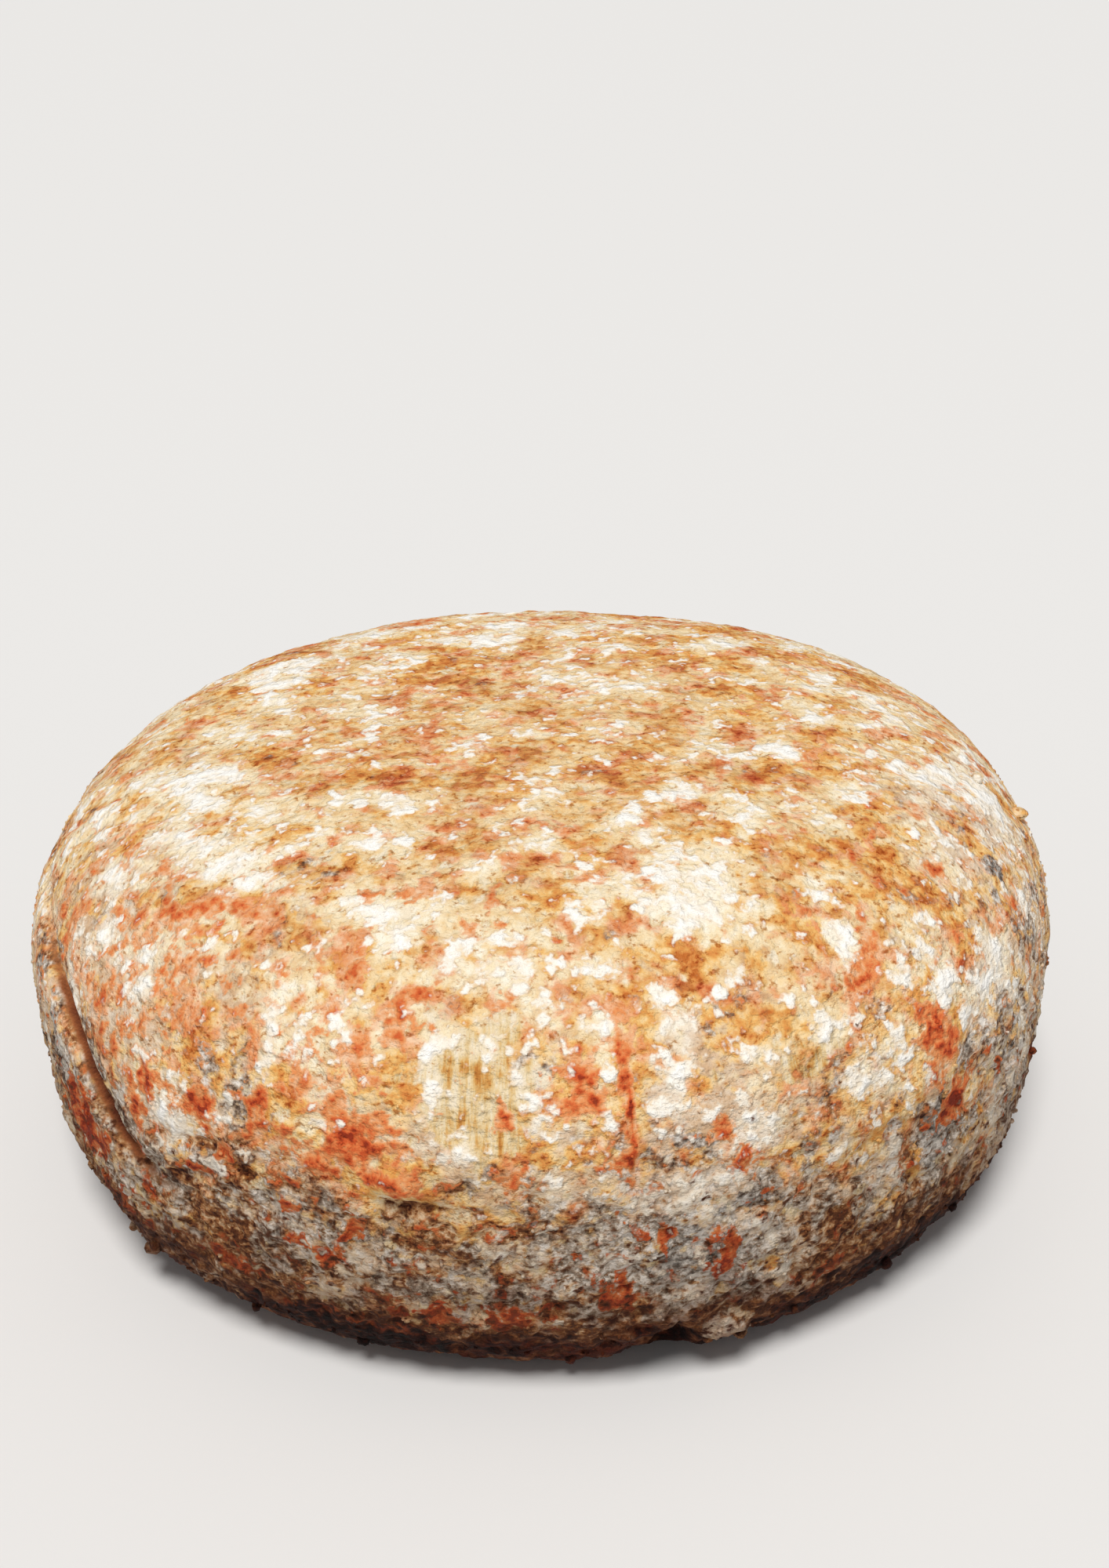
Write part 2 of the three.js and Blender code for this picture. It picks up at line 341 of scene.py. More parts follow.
relief = {
    # wavelength, height, octaves, seed
    "lump": (24, 0.55, 2, 0.0), "knob": (9, 0.42, 3, 7.3), "grain": (3.8, 0.36, 2, 3.1),
    # the lower side is rough with level ridges: their size, how sharp, octaves and seed
    "ridgeAcross": 7, "ridgeDown": 4.4, "ridgeHeight": 1.5, "ridgeCrest": 0.4, "ridgeNoise": (3, 1.7),
    "ridgeFrom": 136, "ridgeFull": 164,
    "lowGrain": 1.2,        # how much coarser the grain is there
    # how far from its middle a pit is sunk and how far painted shade darkens it, as shares of the spacing
    "pitSpacing": 6.5, "pitDepth": 0.55, "pitShare": 0.30, "pitShade": 0.45,
    "scrapeDepth": 0.5,
    # strokes down the scraped places
    "strokeHeight": 0.16, "strokeWidth": 1.9, "strokeLength": 22, "strokeNoise": (2, 5.9),
    "calming": 0.85,        # share of the fine relief that calm places lose
    "footFrom": 0.3, "footFull": 5,         # heights over which the foot's flat edge turns rough
}

# raised or sunk places: bearing, down, half size across, half size down, height, and for those
# with steep walls how steep
dents = [
    (262, 145.5, 10, 1.8, 0.9),      # lip of rind pushed up below the scraped place
    (256.5, 153.5, 5.0, 3.2, 2.6),   # orange knob
    (256.5, 159.0, 6.5, 2.0, -1.9),  # hollow under it
    (282.4, 207.5, 5.4, 9.0, -6.0, 3),     # bite out of the foot's rim
    (279, 211, 4.0, 7.0, -2.4, 2),
    (287.8, 200, 6.0, 3.6, 2.0, 2),        # flake beside it
    (229.5, 163.5, 7.0, 4.6, 1.3),   # lumps beside the crease's lower end
    (233.8, 160.5, 3.4, 2.8, 1.1),
    (235.8, 147.5, 4.2, 3.0, 0.7),
    (239.6, 149.5, 5.0, 5.0, 0.8),
    (245.3, 144, 6.0, 5.0, 0.8),
    (236.5, 155.6, 6.0, 1.5, -1.2),
    (238, 160.5, 3.0, 2.6, 0.9),
    (241, 158.5, 3.0, 1.4, -1.2),
    (269, 165.5, 14, 1.3, -0.7),
    (223, 186, 9, 8, 1.2),           # the low corner of the side swells out
    (240, 161, 30, 3, 0.8),          # soft edge above the ledge
    (300, 152, 26, 4, 0.5),
]


# The form's long waves are the solid's own. Each has a weight and one or two sines, and each sine
# its lengths in mm along x, y and z and a shift.
longWaves = [
    (1.1, [((43, 0, 0), 0.6), ((0, 39, 0), 1.9)]),
    (0.7, [((24, -31, 21), 2.1)]),
    (0.6, [((0, 17, 13), 0.4), ((19, 0, -29), 0)]),
]


def wavesAt(points):
    total = 0
    for weight, sines in longWaves:
        wave = 1
        for lengths, shift in sines:
            phase = sum(points[:, axis] / length for axis, length in enumerate(lengths) if length)
            wave = wave * np.sin(phase + shift)
        total = total + weight * wave
    return wheel["swell"] * total


def rindNoise(cos, sin, down, across, along, octavesAndSeed):
    # noise with one size round the wheel and another down the rind
    radius = wheel["diameter"] / 2
    spread = np.stack([cos * radius / across, sin * radius / across, down / along], 1)
    return noiseField(spread, 1.0, *octavesAndSeed)


def skinAt(bearing, down):
    # the finished surface over every pair of bearing and down, with what the material reads
    creaseDown, creaseShare = creaseAt(bearing)
    above = creaseDown - down
    reach, height, outReach, outHeight = outlineAt(down)
    cos, sin = np.cos(bearing * degree), np.sin(bearing * degree)
    flat = np.stack([reach * cos, reach * sin, height], 1)
    sway = swayAt(flat)
    fields = {kind: markField(kind, bearing, down, sway) for kind in marks}
    fields.update({name: profileAt(name, down + sway[1]) for name in profiles})

    footHold = smooth(0, wheel["footFade"], height)
    nearFoot = smooth(relief["footFrom"], relief["footFull"], height)
    scraped = np.clip(fields["scrape"], 0, 1)
    fields["calm"] = np.maximum(scraped, creaseShare * bump(above, 0, crease["calmHalf"]))
    lowSide = smooth(relief["ridgeFrom"], relief["ridgeFull"], down)

    proud = footHold * wavesAt(flat)
    groove = bump(above, 0, crease["grooveHalf"])
    valley = bump(above, crease["valleyAbove"], crease["valleyHalf"])
    roll = bump(above, -crease["rollBelow"], crease["rollHalf"])
    proud += creaseShare * (crease["rollHeight"] * roll - crease["grooveDepth"] * groove
                            - crease["valleyDepth"] * valley)
    for place, centre, halfAcross, halfDown, rise, *steepness in dents:
        away = acrossFrom(place, bearing, reach) / halfAcross
        away = away ** 2 + ((down - centre) / halfDown) ** 2
        proud += rise * np.exp(-away ** (steepness[0] if steepness else 1))

    layers = [relief["lump"], relief["knob"], relief["grain"]]
    lump, knob, grain = [noiseField(flat, wavelength, octaves, seed) * tall
                         for wavelength, tall, octaves, seed in layers]
    ridge = rindNoise(cos, sin, down, relief["ridgeAcross"], relief["ridgeDown"], relief["ridgeNoise"])
    ridge = (relief["ridgeCrest"] - np.abs(ridge)) * relief["ridgeHeight"] * lowSide
    stroke = rindNoise(cos, sin, down, relief["strokeWidth"], relief["strokeLength"], relief["strokeNoise"])
    stroke = stroke * relief["strokeHeight"] * scraped
    nearest = np.array([noise.voronoi(Vector(p) / relief["pitSpacing"])[0][0] for p in flat])
    pit = -relief["pitDepth"] * smooth(relief["pitShare"], 0, nearest)
    fine = knob + grain * (1 + relief["lowGrain"] * lowSide) + ridge + pit
    fine = fine * (1 - relief["calming"] * fields["calm"]) + stroke
    proud += nearFoot * (footHold * lump + fine - relief["scrapeDepth"] * scraped)

    reach = reach + outReach * proud
    height = np.maximum(height + outHeight * proud, 0)
    height = height * (1 + wheel["lean"] * reach * cos / (wheel["diameter"] / 2))
    # painted shade: brown on the groove's lower wall, and grey and brown in the dip above it
    fields["fold"] = creaseShare * bump(above, -crease["shadeBelow"], crease["shadeHalf"])
    for kind in ("grey", "brown"):
        fields[kind] = np.maximum(fields[kind], crease["valleyShade"] * creaseShare * valley)
    # painted shade round each pit
    fields["pit"] = smooth(relief["pitShade"], 0, nearest)
    fields["down"] = down
    return np.stack([reach * cos, reach * sin, height], 1), fields


rind = {
    "around": 600,          # quads round the side, a quarter of them to each edge of the cap's grid
    "capDown": 94,          # the cap ends and the side's rings begin here
    "ringStep": 1.28,       # from ring to ring down the side
    "footRings": (84, 60, 30),              # reach of the rings across the flat foot
}


def isNearCrease(place, down):
    bearing = math.degrees(math.atan2(place.y, place.x)) % 360
    first, last = crease["refineBearings"]
    if not first < bearing < last:
        return False
    creaseDown, _ = creaseAt(np.array([bearing]))
    return abs(float(creaseDown[0]) - down) < crease["refineHalf"]


def wheelMesh():
    print("rind: cap and side")
    bm = bmesh.new()
    downLayer = bm.verts.layers.float.new("down")
    perSide = rind["around"] // 4
    capReach = float(np.interp(rind["capDown"], outlineDown, outlineReach))
    topReach, topDown = outlineReach[:outlineSteps], outlineDown[:outlineSteps]
    bmesh.ops.create_grid(bm, x_segments=perSide, y_segments=perSide, size=1)
    for v in bm.verts:
        # the square grid is drawn round into a disc
        x, y = v.co.x, v.co.y
        ring = max(abs(x), abs(y))
        if ring < 1e-6:
            angle = 0.0
        elif abs(x) >= abs(y):
            angle = math.pi / 4 * y / x + (math.pi if x < 0 else 0)
        else:
            angle = math.pi / 2 - math.pi / 4 * x / y + (math.pi if y < 0 else 0)
        v.co = (capReach * ring * math.cos(angle), capReach * ring * math.sin(angle), 0)
        v[downLayer] = float(np.interp(capReach * ring, topReach, topDown))

    rim = [e for e in bm.edges if e.is_boundary]
    steps = int(round((rindLength - rind["capDown"]) / rind["ringStep"]))
    reachNow = capReach
    for step in range(1, steps + 1):
        down = rind["capDown"] + (rindLength - rind["capDown"]) * step / steps
        reachNext = float(np.interp(down, outlineDown, outlineReach))
        made = bmesh.ops.extrude_edge_only(bm, edges=rim)["geom"]
        ringVerts = [g for g in made if isinstance(g, bmesh.types.BMVert)]
        rim = [g for g in made if isinstance(g, bmesh.types.BMEdge)]
        scale = reachNext / reachNow
        bmesh.ops.scale(bm, vec=(scale, scale, 1), verts=ringVerts)
        for v in ringVerts:
            v[downLayer] = down
        reachNow = reachNext

    print("rind: finer along the crease")
    nearCrease = [f for f in bm.faces if isNearCrease(f.calc_center_median(), f.verts[0][downLayer])]
    edgesThere = list({e for f in nearCrease for e in f.edges})
    bmesh.ops.subdivide_edges(bm, edges=edgesThere, cuts=1, use_grid_fill=True)

    print("rind: relief")
    bm.verts.ensure_lookup_table()
    flat = np.array([v.co[:2] for v in bm.verts])
    bearing = np.degrees(np.arctan2(flat[:, 1], flat[:, 0])) % 360
    down = np.array([v[downLayer] for v in bm.verts])
    points, fields = skinAt(bearing, down)
    for v, point in zip(bm.verts, points):
        v.co = point

    print("rind: foot")
    for reach in rind["footRings"]:
        made = bmesh.ops.extrude_edge_only(bm, edges=rim)["geom"]
        ringVerts = [g for g in made if isinstance(g, bmesh.types.BMVert)]
        rim = [g for g in made if isinstance(g, bmesh.types.BMEdge)]
        for v in ringVerts:
            flatReach = math.hypot(v.co.x, v.co.y)
            v.co = (v.co.x * reach / flatReach, v.co.y * reach / flatReach, 0)
    bmesh.ops.edgeloop_fill(bm, edges=rim)
    bmesh.ops.recalc_face_normals(bm, faces=bm.faces)
    return bm, bearing, fields


def finishMesh(bm, name):
    bmesh.ops.scale(bm, vec=(toMetres,) * 3, verts=bm.verts)
    mesh = bpy.data.meshes.new(name)
    bm.to_mesh(mesh)
    bm.free()
    mesh.shade_smooth()
    piece = bpy.data.objects.new(name, mesh)
    bpy.context.scene.collection.objects.link(piece)
    return piece


# Three fields to a colour attribute, with what the foot's underside gets of each. Of these, brown holds
# some painted shadow, and the last field of form and the first two of hollows are painted shade.
attributeGroups = {
    "bloom": {"chalk": 0, "orange": 0, "red": 0},
    "wearAndShade": {"grey": 0, "brown": 0, "scrape": 0},
    "form": {"warmth": 0.58, "crust": 1, "footShade": 1},
    "hollows": {"fold": 0, "pit": 0, "low": 1},
}


def addFields(mesh, bearing, fields):
    fields["low"] = fields["down"] / rindLength
    short = len(mesh.vertices) - len(bearing)
    for name, group in attributeGroups.items():
        columns = [np.append(fields[kind], np.full(short, below)) for kind, below in group.items()]
        columns.append(np.ones(len(mesh.vertices)))
        layer = mesh.attributes.new(name, "FLOAT_COLOR", "POINT")
        layer.data.foreach_set("color", np.stack(columns, 1).astype(np.float32).ravel())
    # a space whose long way runs down the rind, for streaks
    reach = wheel["diameter"] / 2
    run = np.stack([np.cos(bearing * degree) * reach, np.sin(bearing * degree) * reach, fields["down"]], 1)
    run = np.concatenate([run, np.zeros((short, 3))]) * toMetres
    layer = mesh.attributes.new("runDown", "FLOAT_VECTOR", "POINT")
    layer.data.foreach_set("vector", run.astype(np.float32).ravel())


def colour(code):
    # sRGB hex to linear
    parts = [int(code[i:i + 2], 16) / 255 for i in (1, 3, 5)]
    return tuple(c / 12.92 if c <= 0.04045 else ((c + 0.055) / 1.055) ** 2.4 for c in parts) + (1,)


def addNode(tree, kind, links=None, stops=None, **settings):
    made = tree.nodes.new(kind)
    for name, value in settings.items():
        setattr(made, name, value)
    for socket, value in (links or {}).items():
        if isinstance(value, bpy.types.NodeSocket):
            tree.links.new(value, made.inputs[socket])
        else:
            made.inputs[socket].default_value = value
    if stops:
        elements = made.color_ramp.elements
        while len(elements) < len(stops):
            elements.new(1)
        for element, (place, code) in zip(elements, stops):
            element.position = place
            element.color = colour(code)
    return made


# Natural rind of a brushed, mould-ripened wheel: a dry, matt, mealy skin. A dusty white bloom
# wears through to tan, amber and brick-red smear, all in ragged flecks, and towards the foot it
# turns into a grey and brown crust with pits. Painted shade darkens the pits, the flakes' edges,
# the crease, the bite and the rind towards the foot.
naturalRind = {
    "roughness": 0.88,
    "specular": 0.18,
    # the spaces that some noises are drawn out in: streaks run down the rind, shelves lie low and
    # level, and brushed smears go round
    "runStretch": (1, 1, 0.16),
    "shelfStretch": (1, 1, 1.7),
    "brushTurn": (0, 0, 0.2), "brushStretch": (0.85, 1, 1),        # the turn in radians
    "noiseSpan": (0.4, 0.6),        # noise values that count as -1 and 1
    # wavelength in mm, detail, roughness, space, shift
    "noises": {
        "cloud": (34, 2, 0.5, "object", 0),
        "blot": (13, 3, 0.5, "brushed", 3),
        "smear": (6.6, 4, 0.55, "brushed", 7),
        "spot": (4.8, 4, 0.55, "object", 13),
        "dust": (5.8, 3, 0.52, "object", 23),
        "hue": (6.6, 3, 0.5, "object", 17),
        "mottle": (3.4, 3, 0.5, "object", 37),
        "fine": (2.1, 3, 0.5, "object", 29),
        "streak": (2.2, 5, 0.66, "run", 5),
        "grain": (1.15, 2, 0.7, "object", 11),
        "shelf": (2.8, 4, 0.6, "shelf", 9),
        "dash": (1.9, 3, 0.6, "shelf", 31),
    },
    # dried flakes of the skin, each with a tint of its own, and how ragged their edges are; in mm
    "flakes": {"size": 2.4, "flattening": 1.7, "edgeWavelength": 2.6, "edgeSway": 2.2, "edgeDetail": 4,
               "edgeRoughness": 0.7},
    # each level is a start and what adds to it; scale is a flake's own tint, and gap grows towards
    # its edge, where it darkens the tints as painted shade between the flakes
    "levels": {
        "warm": (-0.17, {"warmth": 1, "blot": .10, "mottle": .10, "fine": .06, "scale": .05, "gap": .20,
                         "orange": .12, "chalk": -.25}),
        "aged": (-0.38, {"low": 1, "grey": .45, "blot": .12, "mottle": .08}),
        "smeared": (0.04, {"warmth": 1, "smear": .25, "mottle": .11, "blot": .19, "cloud": .10,
                           "orange": .36, "chalk": -.24, "scrape": -.1}),
        "smearDepth": (-0.40, {"smeared": .9, "mottle": .14, "hue": .06, "fine": .12, "dash": .08,
                               "scale": .06, "gap": .16}),
        "peachy": (0.38, {"hue": .26, "spot": .10, "red": .5, "orange": -.1}),
        "ochry": (0.05, {"orange": .6, "hue": -.22, "mottle": .10, "low": .2}),
        "crusty": (-0.11, {"crust": 1.1, "blot": .14, "spot": .18, "mottle": .08, "cloud": .08,
                           "scale": .08, "grey": .26, "brown": .26, "chalk": -.10}),
        "tone": (0.42, {"shelf": .12, "spot": -.08, "mottle": .08, "fine": .18, "dash": .13, "grain": .14,
                        "blot": .10, "scale": .06, "brown": .24, "grey": -.12}),
        "slaty": (-0.55, {"grey": 1.1, "blot": .14, "mottle": .08, "brown": -.3}),
        "rusty": (0.24, {"hue": .22, "mottle": .08, "low": .24, "brown": .45, "grey": -.4}),
        "bare": (0.0, {"scrape": .9, "dust": -.20, "smear": -.12, "mottle": -.08}),
        "bareDepth": (0.54, {"streak": .27, "fine": .05, "smear": .18, "dust": .08, "chalk": -.20}),
        "flushed": (0.02, {"spot": .20, "mottle": .16, "fine": .10, "hue": .10, "low": .10, "red": .66,
                           "brown": -.12, "scrape": -.10}),
        # the red deepens with the painted shade towards the foot
        "flushDepth": (-0.58, {"flushed": .8, "low": .38, "footShade": .62, "mottle": .12, "fine": .08,
                               "scale": .06, "gap": .12}),
        "bloomed": (0.18, {"low": .08, "footShade": -.12, "dust": .22, "mottle": .14, "fine": .10, "blot": -.14,
                           "chalk": .34, "red": -.30, "orange": -.18, "grey": .04, "brown": -.22,
                           "scrape": -.14}),
        "bloomDepth": (-0.5, {"bloomed": 1.5, "mottle": .14, "crust": -.6}),
        # painted shade in the crease, deeper further down
        "folded": (-1.6, {"fold": 1.1, "low": 2.3, "spot": .06}),
        # painted shade of the fine relief, in short level dashes, a little more towards the foot
        "dashShade": (-0.30, {"dash": .36, "fine": .10, "low": .20, "bloomed": -.2, "scrape": -.2}),
        # painted shade: darkness in pits, between flakes, in fine specks, in the crease and the bite, and
        # growing towards the foot
        "dark": (-0.90, {"fine": .11, "mottle": .10, "gap": .20, "shelf": .17, "low": .70, "pit": .30,
                         "fold": .2, "brown": .2, "scrape": -.3, "chalk": -.1, "footShade": .2}),
        # painted shade that darkens everything towards the foot
        "footShading": (0.0, {"footShade": .92, "blot": .06, "spot": .06, "chalk": -.10}),
    },
    # each layer's tints, and the level that picks among them
    "tints": {
        "skin": ("warm", [(0, "#FBF3E0"), (.25, "#F5E3BF"), (.5, "#EBCB97"), (.75, "#DBB07A"),
                          (1, "#BF8E58")]),
        "aged": ("warm", [(0, "#F4ECE2"), (.25, "#E5D2BC"), (.5, "#D6B592"), (.75, "#C39971"),
                          (1, "#A2754F")]),
        "amber": ("smearDepth", [(0, "#F1D3A2"), (.3, "#E8BE83"), (.6, "#DDA765"), (.85, "#CE904F"),
                                 (1, "#C6834A")]),
        "peach": ("smearDepth", [(0, "#F1C9A6"), (.3, "#EBB086"), (.6, "#E2945F"), (.85, "#D37544"),
                                 (1, "#B9562E")]),
        "ochre": ("smearDepth", [(0, "#F3D29A"), (.3, "#EBBA72"), (.6, "#E09E54"), (.85, "#D78B48"),
                                 (1, "#C67233")]),
        "ash": ("tone", [(0, "#F2EBE3"), (.2, "#D6CABD"), (.42, "#B5A595"), (.65, "#917D6C"),
                         (.85, "#6E594A"), (1, "#4B382D")]),
        "slate": ("tone", [(0, "#E6E2DD"), (.2, "#CCC7C1"), (.42, "#ABA49D"), (.65, "#878079"),
                           (.85, "#655C55"), (1, "#453C36")]),
        "rust": ("tone", [(0, "#E9CBA8"), (.2, "#CFA276"), (.42, "#AA7447"), (.65, "#84512F"),
                          (.85, "#5F3019"), (1, "#3F1B0E")]),
        "bare": ("bareDepth", [(0, "#F0E2C8"), (.35, "#E6D0A6"), (.6, "#DCB97E"), (.8, "#D09A54"),
                               (1, "#BC7A38")]),
        "flush": ("flushDepth", [(0, "#ECB58A"), (.3, "#E6985F"), (.6, "#DC733F"), (.85, "#C75228"),
                                 (1, "#97351C")]),
        "bloom": ("bloomDepth", [(0, "#EFE1CC"), (.4, "#F9F1E3"), (1, "#FFFDF8")]),
        # painted shade in the crease
        "fold": ("folded", [(.2, "#C38D57"), (.65, "#9A5B35"), (1, "#5E2A18")]),
        # painted shade of the fine relief
        "dash": ("dashShade", [(0, "#E2C3A4"), (1, "#B0845F")]),
        # painted shade for hollows, pits and the foot, down to near black
        "hollow": ("dark", [(0, "#8E5E3C"), (.4, "#5C3018"), (.7, "#341509"), (1, "#140804")]),
        # painted shade towards the foot, multiplied over the rind
        "footShading": ("footShading", [(0, "#FFFFFF"), (.6, "#C9C2BB"), (1, "#6E402D")]),
    },
    # what is laid over what: result, below, above, level, where it starts and where it is full, blend
    "covers": [
        ("skin", "skin", "aged", "aged", 0, .35, "MIX"),
        ("smear", "amber", "peach", "peachy", .25, .70, "MIX"),
        ("smear", "smear", "ochre", "ochry", .15, .60, "MIX"),
        ("skin", "skin", "smear", "smeared", .36, .66, "MIX"),
        ("ash", "ash", "slate", "slaty", .1, .6, "MIX"),
        ("crust", "ash", "rust", "rusty", .3, .6, "MIX"),
        ("skin", "skin", "crust", "crusty", .34, .64, "MIX"),
        ("skin", "skin", "bare", "bare", .3, .55, "MIX"),
        # painted shade in short dashes
        ("skin", "skin", "dash", "dashShade", -.05, .5, "MULTIPLY"),
        ("skin", "skin", "flush", "flushed", .36, .60, "MIX"),
        ("skin", "skin", "bloom", "bloomed", .34, .64, "MIX"),
        # painted shade in the crease
        ("skin", "skin", "fold", "folded", .1, .7, "MIX"),
        # painted shade laid over the rind
        ("skin", "skin", "hollow", "dark", .02, .42, "MIX"),
        # painted shade towards the foot
        ("skin", "skin", "footShading", "footShading", -.1, 0, "MULTIPLY"),
    ],
    # mm for the usual rise
    "bumpHeights": {"grain": .02, "fine": .11, "mottle": .15, "dust": .10, "shelf": .10, "gap": -.05,
                    "bloomed": .05},
}


def rindMaterial():
    print("material: natural rind")
    recipe = naturalRind
    material = bpy.data.materials.new("naturalRind")
    material.use_nodes = True
    tree = material.node_tree
    tree.nodes.clear()
    place = addNode(tree, "ShaderNodeTexCoord").outputs["Object"]
    runDown = addNode(tree, "ShaderNodeAttribute", attribute_name="runDown").outputs["Vector"]
    stretchRun = addNode(tree, "ShaderNodeVectorMath", {0: runDown, 1: recipe["runStretch"]},
                         operation="MULTIPLY")
    stretchShelf = addNode(tree, "ShaderNodeVectorMath", {0: place, 1: recipe["shelfStretch"]},
                           operation="MULTIPLY")
    brushed = addNode(tree, "ShaderNodeMapping",
                      {"Vector": place, "Rotation": recipe["brushTurn"], "Scale": recipe["brushStretch"]})
    spaces = {"object": place, "run": stretchRun.outputs[0], "shelf": stretchShelf.outputs[0],
              "brushed": brushed.outputs[0]}

    signals = {}
    least, most = recipe["noiseSpan"]
    for name, (wavelength, detail, roughness, space, shift) in recipe["noises"].items():
        moved = addNode(tree, "ShaderNodeVectorMath", {0: spaces[space], 1: (shift,) * 3}, operation="ADD")
        made = addNode(tree, "ShaderNodeTexNoise",
                       {"Vector": moved.outputs[0], "Scale": 1 / (wavelength * toMetres),
                        "Detail": detail, "Roughness": roughness})
        centred = addNode(tree, "ShaderNodeMapRange",
                          {"Value": made.outputs["Fac"], "From Min": least, "From Max": most,
                           "To Min": -1.0, "To Max": 1.0}, clamp=False)
        signals[name] = centred.outputs[0]

    flakes = recipe["flakes"]
    ragged = addNode(tree, "ShaderNodeTexNoise",
                     {"Vector": place, "Scale": 1 / (flakes["edgeWavelength"] * toMetres),
                      "Detail": flakes["edgeDetail"], "Roughness": flakes["edgeRoughness"]})
    swayed = addNode(tree, "ShaderNodeVectorMath",
                     {0: ragged.outputs["Color"], 1: (flakes["edgeSway"] * toMetres,) * 3, 2: place},
                     operation="MULTIPLY_ADD")
    flattened = addNode(tree, "ShaderNodeVectorMath",
                        {0: swayed.outputs[0], 1: (1, 1, flakes["flattening"])}, operation="MULTIPLY")
    cells = addNode(tree, "ShaderNodeTexVoronoi",
                    {"Vector": flattened.outputs[0], "Scale": 1 / (flakes["size"] * toMetres)})
    split = addNode(tree, "ShaderNodeSeparateColor", {0: cells.outputs["Color"]})
    centred = addNode(tree, "ShaderNodeMapRange", {"Value": split.outputs[0], "To Min": -1.0}, clamp=False)
    signals["scale"] = centred.outputs[0]
    signals["gap"] = cells.outputs["Distance"]

    for name, group in attributeGroups.items():
        read = addNode(tree, "ShaderNodeAttribute", attribute_name=name)
        split = addNode(tree, "ShaderNodeSeparateColor", {0: read.outputs["Color"]})
        for kind, channel in zip(group, split.outputs):
            signals[kind] = channel

    for name, (start, parts) in recipe["levels"].items():
        level = start
        for part, gain in parts.items():
            level = addNode(tree, "ShaderNodeMath", {0: signals[part], 1: gain, 2: level},
                            operation="MULTIPLY_ADD").outputs[0]
        signals[name] = level

    tints = {}
    for name, (level, stops) in recipe["tints"].items():
        tints[name] = addNode(tree, "ShaderNodeValToRGB", {0: signals[level]}, stops).outputs[0]
    for made, below, above, level, start, full, blend in recipe["covers"]:
        share = addNode(tree, "ShaderNodeMapRange",
                        {"Value": signals[level], "From Min": start, "From Max": full},
                        interpolation_type="SMOOTHSTEP").outputs[0]
        tints[made] = addNode(tree, "ShaderNodeMix", {0: share, 6: tints[below], 7: tints[above]},
                              data_type="RGBA", blend_type=blend).outputs[2]

    height = 0.0
    for name, size in recipe["bumpHeights"].items():
        height = addNode(tree, "ShaderNodeMath", {0: signals[name], 1: size * toMetres, 2: height},
                         operation="MULTIPLY_ADD").outputs[0]
    bumped = addNode(tree, "ShaderNodeBump", {"Height": height, "Strength": 1.0, "Distance": 1.0})
    shader = addNode(tree, "ShaderNodeBsdfPrincipled",
                     {"Base Color": tints["skin"], "Roughness": recipe["roughness"],
                      "Specular IOR Level": recipe["specular"], "Normal": bumped.outputs[0]})
    addNode(tree, "ShaderNodeOutputMaterial", {0: shader.outputs[0]})
    return material


skinMesh, skinBearing, skinFields = wheelMesh()
rindPiece = finishMesh(skinMesh, "rind")
addFields(rindPiece.data, skinBearing, skinFields)
rindPiece.data.materials.append(rindMaterial())
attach(rindPiece, "root")
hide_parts("cheese_wheel")
print("rind:", len(rindPiece.data.polygons), "faces")

# Loose bits that stick to the rind: some crumbs are placed, by bearing, down and size in mm, and
# the other crumbs and the fine grains of dried bloom lie by chance.
crumbs = {
    "placed": [(222, 203, 4.0), (224, 199, 2.8), (219, 200, 2.4), (272, 209, 3.4), (278, 208, 2.6),
               (353, 128, 4.0), (351, 112, 2.6), (290, 206, 2.8), (286, 203, 2.6), (296, 203, 2.6),
               (237, 206, 2.6), (250, 207, 2.4), (212, 190, 2.6), (309, 204, 3.0), (320, 200, 2.6)],
    "seed": 12, "doublings": 6, "downs": (150, 208), "sizes": (0.9, 1.8),
    "roundness": 2, "uneven": 0.28,
    "sunk": 0.40,           # share of the size that is below the surface
    "calming": 0.9,         # share of the size that is lost in calm places
}
grains = {
    "seed": 5, "doublings": 12, "downs": (126, 206), "sizes": (0.7, 1.4),
    "roundness": 1, "uneven": 0.30,
    "sunk": 0.68,
    "calming": 0.9,
}


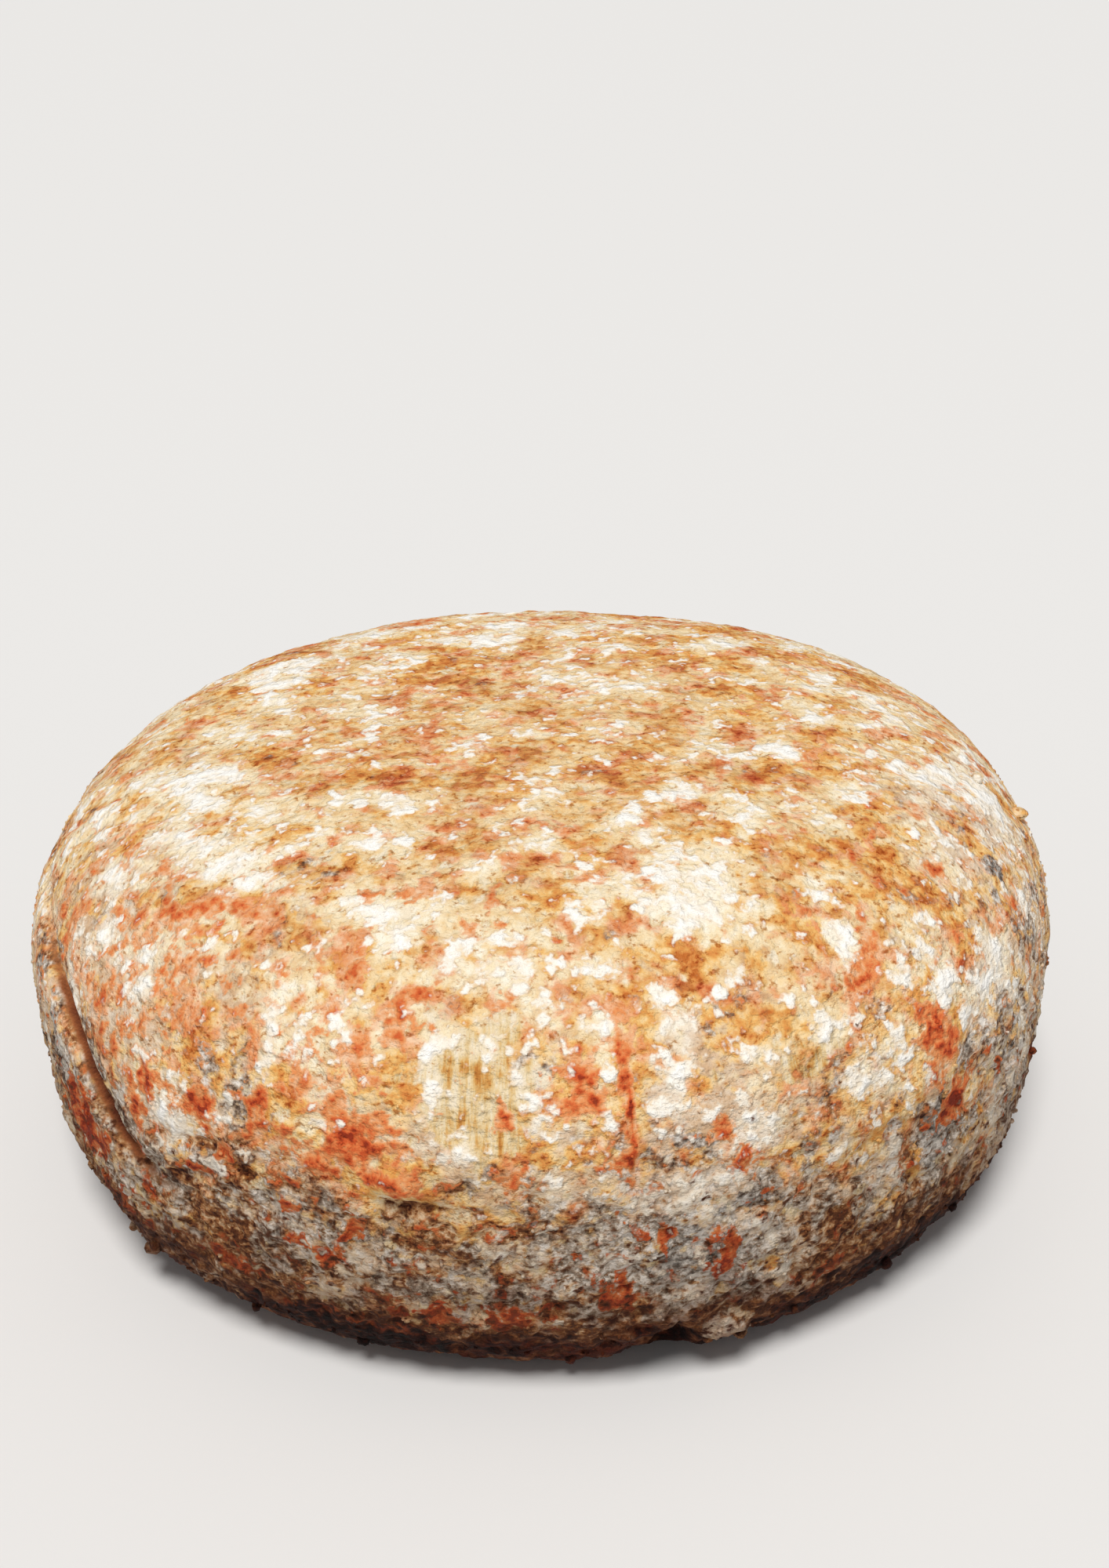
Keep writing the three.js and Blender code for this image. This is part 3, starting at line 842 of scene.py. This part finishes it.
def buildBits(name, kind):
    print(name)
    radius = 0.5            # of a ball before it gets its size
    bm = bmesh.new()
    bmesh.ops.create_icosphere(bm, subdivisions=kind["roundness"], radius=radius)
    each = len(bm.verts)
    for _ in range(kind["doublings"]):
        bmesh.ops.duplicate(bm, geom=bm.verts[:] + bm.edges[:] + bm.faces[:])
    count = 2 ** kind["doublings"]
    chance = np.random.default_rng(kind["seed"])
    bearing = chance.uniform(0, 360, count)
    down = chance.uniform(*kind["downs"], count)
    size = chance.uniform(*kind["sizes"], count)
    for spot, (placedBearing, placedDown, placedSize) in enumerate(kind.get("placed", [])):
        bearing[spot], down[spot], size[spot] = placedBearing, placedDown, placedSize
    points, fields = skinAt(bearing, down)
    size = size * (1 - kind["calming"] * fields["calm"])
    _, _, outReach, outHeight = outlineAt(down)
    out = np.stack([outReach * np.cos(bearing * degree), outReach * np.sin(bearing * degree), outHeight], 1)
    centres = points + out * (size * (radius - kind["sunk"]))[:, None]
    centres[:, 2] = np.maximum(centres[:, 2], size * (radius + kind["uneven"]))
    stretch = 1 + kind["uneven"] * chance.uniform(-1, 1, (count, 3))
    dimples = 1 + kind["uneven"] * chance.uniform(-1, 1, (count, each, 1)) / 2
    balls = np.array([v.co[:] for v in bm.verts]).reshape(count, each, 3)
    balls = balls * dimples * (stretch * size[:, None])[:, None] + centres[:, None]
    for v, place in zip(bm.verts, balls.reshape(-1, 3)):
        v.co = place
    bmesh.ops.recalc_face_normals(bm, faces=bm.faces)
    piece = finishMesh(bm, name)
    addFields(piece.data, np.repeat(bearing, each),
              {field: np.repeat(value, each) for field, value in fields.items()})
    piece.data.materials.append(rindPiece.data.materials[0])
    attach(piece, "root")
    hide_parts("cheese_wheel")


buildBits("rindCrumbs", crumbs)
buildBits("rindGrains", grains)


studio = {
    "floorRadius": 8000, "floorSegments": 96,
    "paperColour": "#E6E6E6", "paperRoughness": 0.95, "paperSpecular": 0.1,
    "worldColour": "#FFFFFF", "worldStrength": 0.28,
    # the main light: bearing, elevation, angle of its disc, strength, colour
    "sun": (-96, 65.5, 20, 2.70, "#FFFCF8"),
}


def buildFloor():
    bm = bmesh.new()
    bmesh.ops.create_circle(bm, cap_ends=True, segments=studio["floorSegments"],
                            radius=studio["floorRadius"] * toMetres)
    mesh = bpy.data.meshes.new("floor")
    bm.to_mesh(mesh)
    bm.free()
    floor = bpy.data.objects.new("floor", mesh)
    bpy.context.scene.collection.objects.link(floor)
    paper = bpy.data.materials.new("studioPaper")    # matt seamless paper
    paper.use_nodes = True
    shader = paper.node_tree.nodes["Principled BSDF"]
    shader.inputs["Base Color"].default_value = colour(studio["paperColour"])
    shader.inputs["Roughness"].default_value = studio["paperRoughness"]
    shader.inputs["Specular IOR Level"].default_value = studio["paperSpecular"]
    mesh.materials.append(paper)


def buildLight():
    world = bpy.data.worlds.new("studio")
    world.use_nodes = True
    background = world.node_tree.nodes["Background"]
    background.inputs[0].default_value = colour(studio["worldColour"])
    background.inputs[1].default_value = studio["worldStrength"]
    bpy.context.scene.world = world
    bearing, elevation, width, strength, tint = studio["sun"]
    data = bpy.data.lights.new("softSun", "SUN")
    data.angle, data.energy, data.color = width * degree, strength, colour(tint)[:3]
    lamp = bpy.data.objects.new("softSun", data)
    across = math.cos(elevation * degree)
    towards = Vector((across * math.cos(bearing * degree), across * math.sin(bearing * degree),
                      math.sin(elevation * degree)))
    lamp.rotation_euler = towards.to_track_quat("Z", "Y").to_euler()
    lamp.location = towards
    bpy.context.scene.collection.objects.link(lamp)


view = {
    "frameWidth": 1414, "frameHeight": 2000,
    "middleShows": (687, 1151),     # where in the frame the wheel's middle shows
    "focalPixels": 2400, "sensorHeight": 24, "clipStart": 10,
    "elevation": 28.93, "distance": 499, "roll": 1.24,
    "aimHeight": 55,
}


def buildCamera():
    lift = view["elevation"] * degree
    towards = Vector((0, math.cos(lift), -math.sin(lift)))
    upwards = Vector((0, math.sin(lift), math.cos(lift)))
    # turn the camera so that the wheel's middle leaves the centre of the frame by that much
    aside = math.atan((view["middleShows"][0] - view["frameWidth"] / 2) / view["focalPixels"])
    drop = math.atan((view["middleShows"][1] - view["frameHeight"] / 2) / view["focalPixels"])
    looking = Matrix((Vector((1, 0, 0)), upwards, towards))
    pitch = Matrix(((1, 0, 0), (0, math.cos(drop), -math.sin(drop)), (0, math.sin(drop), math.cos(drop))))
    yaw = Matrix(((math.cos(aside), 0, math.sin(aside)), (0, 1, 0), (-math.sin(aside), 0, math.cos(aside))))
    right, up, forward = yaw @ pitch @ looking
    roll = view["roll"] * degree
    across = right * math.cos(roll) - up * math.sin(roll)
    upright = right * math.sin(roll) + up * math.cos(roll)
    data = bpy.data.cameras.new("camera")
    data.sensor_fit = "VERTICAL"
    data.sensor_height = view["sensorHeight"]
    data.lens = view["sensorHeight"] * view["focalPixels"] / view["frameHeight"]
    data.clip_start = view["clipStart"] * toMetres
    camera = bpy.data.objects.new("camera", data)
    place = Vector((0, 0, view["aimHeight"] * toMetres)) - towards * view["distance"] * toMetres
    turn = Matrix((across, upright, -forward)).transposed().to_4x4()
    camera.matrix_world = Matrix.Translation(place) @ turn
    bpy.context.scene.collection.objects.link(camera)
    bpy.context.scene.camera = camera


print("stage, light and camera")
buildFloor()
buildLight()
buildCamera()
bpy.context.scene.view_settings.view_transform = "Standard"
